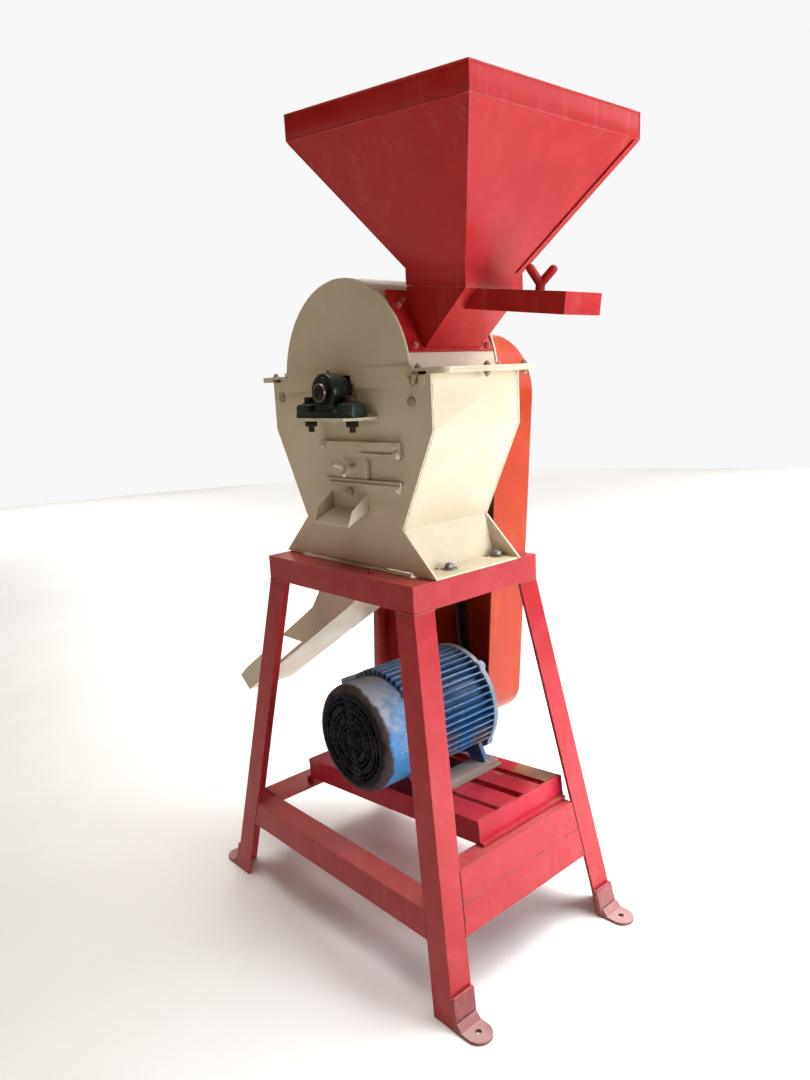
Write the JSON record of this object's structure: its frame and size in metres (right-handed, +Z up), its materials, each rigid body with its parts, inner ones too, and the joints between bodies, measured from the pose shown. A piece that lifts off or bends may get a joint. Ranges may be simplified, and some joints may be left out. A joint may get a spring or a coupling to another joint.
{
  "type": "hammer mill",
  "caption": "Belt-driven hammer mill on a splayed angle-iron stand, with square hopper, feed gate, rounded casing, sample door, discharge chute and motor below.",
  "frame": {"origin": "on the floor, under the middle of the whole machine", "axes": "+Z up; +X towards the feed gate; +Y towards the belt guard; -Y is the side with the shaft end and the sample door"},
  "size_m": [1.2312, 0.6284, 1.86],
  "materials": {
    "stand_paint": "worn gloss red",
    "foot_paint": "worn matt red",
    "hopper_paint": "gloss red",
    "guard_paint": "gloss orange red",
    "casing_paint": "satin cream",
    "motor_paint": "gloss blue",
    "bearing_paint": "satin dark green",
    "packing_paint": "dusty grey",
    "bare_steel": "turned",
    "rotor_steel": "dull mill finish",
    "pulley_iron": "machined rim",
    "fan_plastic": "matt",
    "belt_rubber": "matt"
  },
  "bodies": {
    "stand": {"top_frame": "stand_paint", "leg_front_left": "stand_paint", "leg_front_right": "stand_paint", "leg_rear_left": "stand_paint", "leg_rear_right": "stand_paint", "rail_front": "stand_paint", "rail_rear": "stand_paint", "rail_left": "stand_paint", "rail_right": "stand_paint", "rail_right_riser": "stand_paint", "deck_spacer_left": "stand_paint", "motor_deck": "stand_paint", "foot_front_left": "foot_paint", "foot_front_right": "foot_paint", "foot_rear_left": "foot_paint", "foot_rear_right": "foot_paint", "hopper": "hopper_paint", "feed_throat": "hopper_paint", "belt_guard": "guard_paint", "casing_lower": "casing_paint", "casing_upper": "casing_paint", "sample_spout": "casing_paint", "discharge_chute": "casing_paint", "motor_housing": "motor_paint", "motor_drive_shield": "motor_paint", "motor_fan_shield": "motor_paint", "motor_fan_cowl": "motor_paint", "motor_terminal_box": "motor_paint", "bearing_front": "bearing_paint", "bearing_rear": "bearing_paint", "motor_packing_left": "packing_paint", "motor_packing_right": "packing_paint", "screen": "rotor_steel", "drive_belt_front": "belt_rubber", "drive_belt_rear": "belt_rubber"},
    "rotor": {"mill_shaft": "bare_steel", "rotor_disc_1": "rotor_steel", "rotor_disc_2": "rotor_steel", "rotor_disc_3": "rotor_steel", "hammer_pin_1": "bare_steel", "hammer_pin_2": "bare_steel", "hammer_pin_3": "bare_steel", "hammer_pin_4": "bare_steel", "mill_pulley": "pulley_iron"},
    "armature": {"motor_rotor": "bare_steel", "motor_fan": "fan_plastic", "motor_pulley": "pulley_iron"},
    "gate": {"feed_gate": "bare_steel"},
    "gate_clamp": {"feed_gate_wing_bolt": "hopper_paint"},
    "door": {"sample_door": "casing_paint"},
    "door_clamp": {"sample_door_wing_bolt": "casing_paint"},
    "hammer_1a_body": {"hammer_1a": "rotor_steel"},
    "hammer_1b_body": {"hammer_1b": "rotor_steel"},
    "hammer_2a_body": {"hammer_2a": "rotor_steel"},
    "hammer_2b_body": {"hammer_2b": "rotor_steel"},
    "hammer_3a_body": {"hammer_3a": "rotor_steel"},
    "hammer_3b_body": {"hammer_3b": "rotor_steel"},
    "hammer_4a_body": {"hammer_4a": "rotor_steel"},
    "hammer_4b_body": {"hammer_4b": "rotor_steel"}
  },
  "joints": [
    {"name": "rotor_spin", "type": "hinge", "parent": "stand", "child": "rotor", "pos_m": [0.06238, -0.02775, 1.3], "axis": [0, 1, 0], "continuous": true},
    {"name": "motor_spin", "type": "hinge", "parent": "stand", "child": "armature", "pos_m": [0.07444, -0.02775, 0.48064], "axis": [0, 1, 0], "continuous": true},
    {"name": "gate_slide", "type": "slide", "parent": "stand", "child": "gate", "axis": [0.991, 0, -0.1338], "range_m": [-0.068, 0.068]},
    {"name": "gate_clamp_turn", "type": "hinge", "parent": "gate", "child": "gate_clamp", "pos_m": [0.5126, -0.02475, 1.47501], "axis": [0.1338, 0, 0.991], "range_deg": [0, 180]},
    {"name": "door_slide", "type": "slide", "parent": "stand", "child": "door", "axis": [1, 0, 0], "range_m": [0, 0.13]},
    {"name": "door_clamp_turn", "type": "hinge", "parent": "door", "child": "door_clamp", "pos_m": [0.08438, -0.17535, 1.129], "axis": [0, -1, 0], "range_deg": [0, 180]},
    {"name": "hammer_1a_swing", "type": "hinge", "parent": "rotor", "child": "hammer_1a_body", "pos_m": [0.11541, -0.02775, 1.35303], "axis": [0, 1, 0], "range_deg": [-275, 7]},
    {"name": "hammer_1b_swing", "type": "hinge", "parent": "rotor", "child": "hammer_1b_body", "pos_m": [0.11541, -0.02775, 1.35303], "axis": [0, 1, 0], "range_deg": [-275, 7]},
    {"name": "hammer_2a_swing", "type": "hinge", "parent": "rotor", "child": "hammer_2a_body", "pos_m": [0.00934, -0.02775, 1.35303], "axis": [0, 1, 0], "range_deg": [-7, 275]},
    {"name": "hammer_2b_swing", "type": "hinge", "parent": "rotor", "child": "hammer_2b_body", "pos_m": [0.00934, -0.02775, 1.35303], "axis": [0, 1, 0], "range_deg": [-7, 275]},
    {"name": "hammer_3a_swing", "type": "hinge", "parent": "rotor", "child": "hammer_3a_body", "pos_m": [0.00934, -0.02775, 1.24697], "axis": [0, 1, 0], "range_deg": [-97, 185]},
    {"name": "hammer_3b_swing", "type": "hinge", "parent": "rotor", "child": "hammer_3b_body", "pos_m": [0.00934, -0.02775, 1.24697], "axis": [0, 1, 0], "range_deg": [-97, 185]},
    {"name": "hammer_4a_swing", "type": "hinge", "parent": "rotor", "child": "hammer_4a_body", "pos_m": [0.11541, -0.02775, 1.24697], "axis": [0, 1, 0], "range_deg": [-185, 97]},
    {"name": "hammer_4b_swing", "type": "hinge", "parent": "rotor", "child": "hammer_4b_body", "pos_m": [0.11541, -0.02775, 1.24697], "axis": [0, 1, 0], "range_deg": [-185, 97]}
  ],
  "couplings": [
    {"joint": "motor_spin", "follows": "rotor_spin", "ratio": 1.4615}
  ]
}
